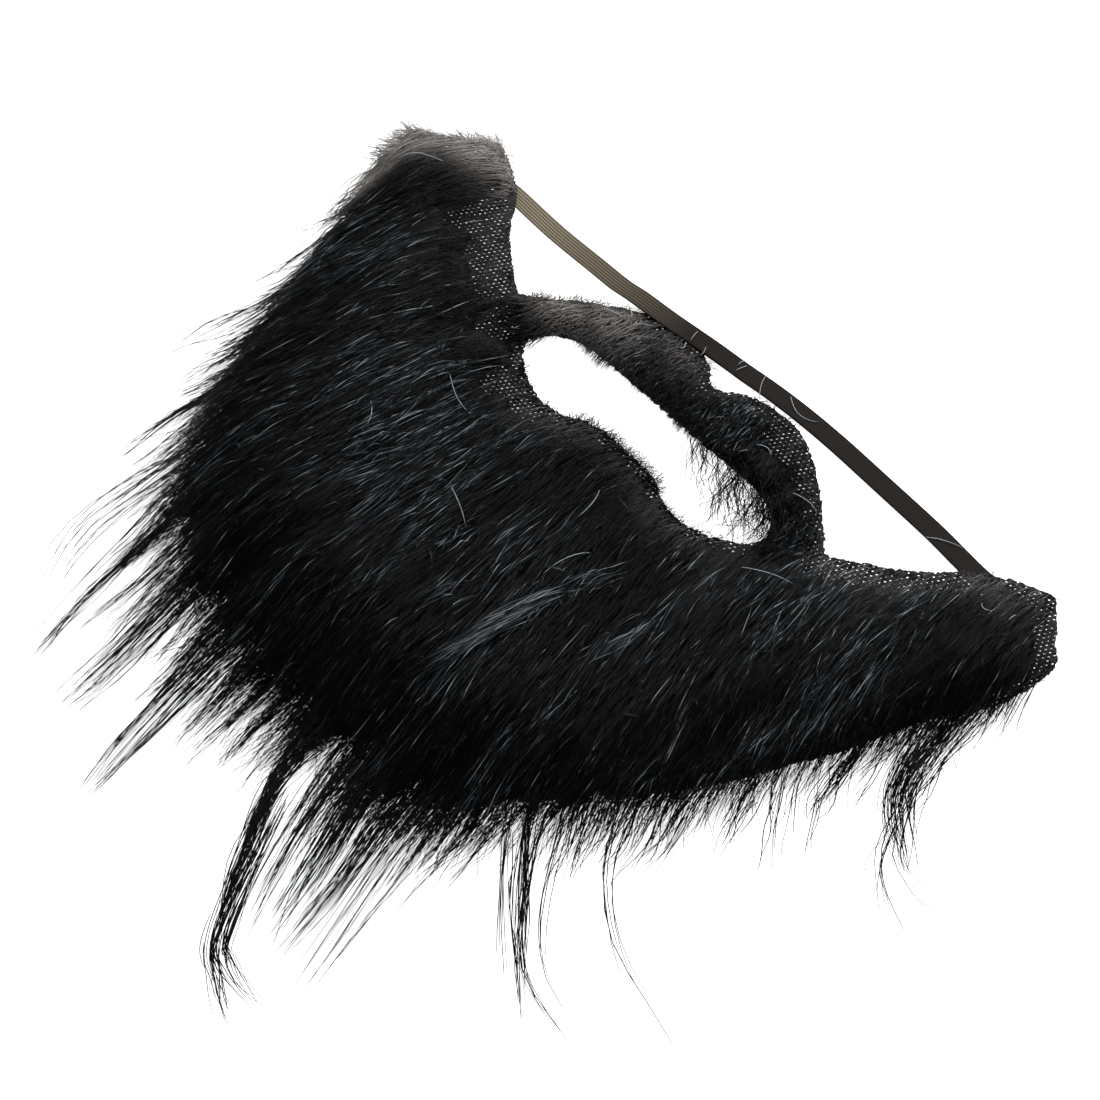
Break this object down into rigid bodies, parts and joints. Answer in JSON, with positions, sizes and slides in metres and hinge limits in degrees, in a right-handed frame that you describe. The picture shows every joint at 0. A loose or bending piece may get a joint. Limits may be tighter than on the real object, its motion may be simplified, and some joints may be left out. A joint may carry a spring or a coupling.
{
  "type": "fake beard",
  "caption": "Costume beard with moustache and sideburns of long black pile on a knitted backing with a mouth hole and an elastic strap, lying fur side up.",
  "frame": {"origin": "on the flat face side of the backing cloth, in the middle of the chin, below the mouth hole", "axes": "+X towards the wearer's left sideburn, +Y from the chin towards the nose, +Z out of the fur, away from the face"},
  "size_m": [0.2947, 0.2435, 0.0175],
  "materials": {
    "knitted_backing": "black warp-knitted mesh, matt",
    "fur_pile": "black synthetic fibre pile, soft sheen",
    "braided_elastic": "brown-black ribbed elastic, matt"
  },
  "bodies": {
    "root": {"backing_cloth": "knitted_backing", "beard_pile": "fur_pile", "moustache_pile": "fur_pile", "elastic_strap": "braided_elastic"}
  },
  "joints": []
}
